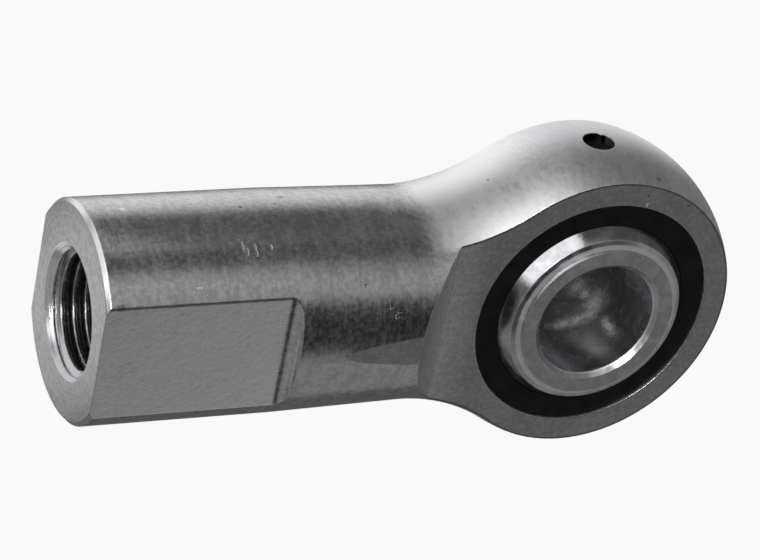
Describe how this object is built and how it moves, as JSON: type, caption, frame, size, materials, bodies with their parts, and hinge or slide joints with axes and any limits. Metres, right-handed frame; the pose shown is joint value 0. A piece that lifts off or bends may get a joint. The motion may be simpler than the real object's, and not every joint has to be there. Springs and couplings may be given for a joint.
{
  "type": "female rod end",
  "caption": "Ball-joint rod end with an internally threaded round shank, wrench flats and a bored ball that tilts in a moulded race.",
  "frame": {"origin": "centre of the ball, on the axis of its bore and on the shank's axis", "axes": "+Z along the ball's bore, +X along the shank's axis towards the head (the threaded end is at -X), +Y towards the filling hole"},
  "size_m": [0.0706, 0.0331, 0.0222],
  "materials": {
    "body_steel": "satin carbon steel, turned and forged, with milled faces and a few nicks",
    "race_polymer": "black moulded polymer",
    "ball_steel": "ground and plated alloy steel, bright on the sphere, turned on the faces"
  },
  "bodies": {
    "body": {"rod_body": "body_steel", "race": "race_polymer"},
    "ball": {"ball": "ball_steel"}
  },
  "joints": [
    {"name": "ball_tilt", "type": "hinge", "parent": "body", "child": "ball", "pos_m": [0, 0, 0], "axis": [0, 1, 0], "range_deg": [-10, 10]}
  ]
}
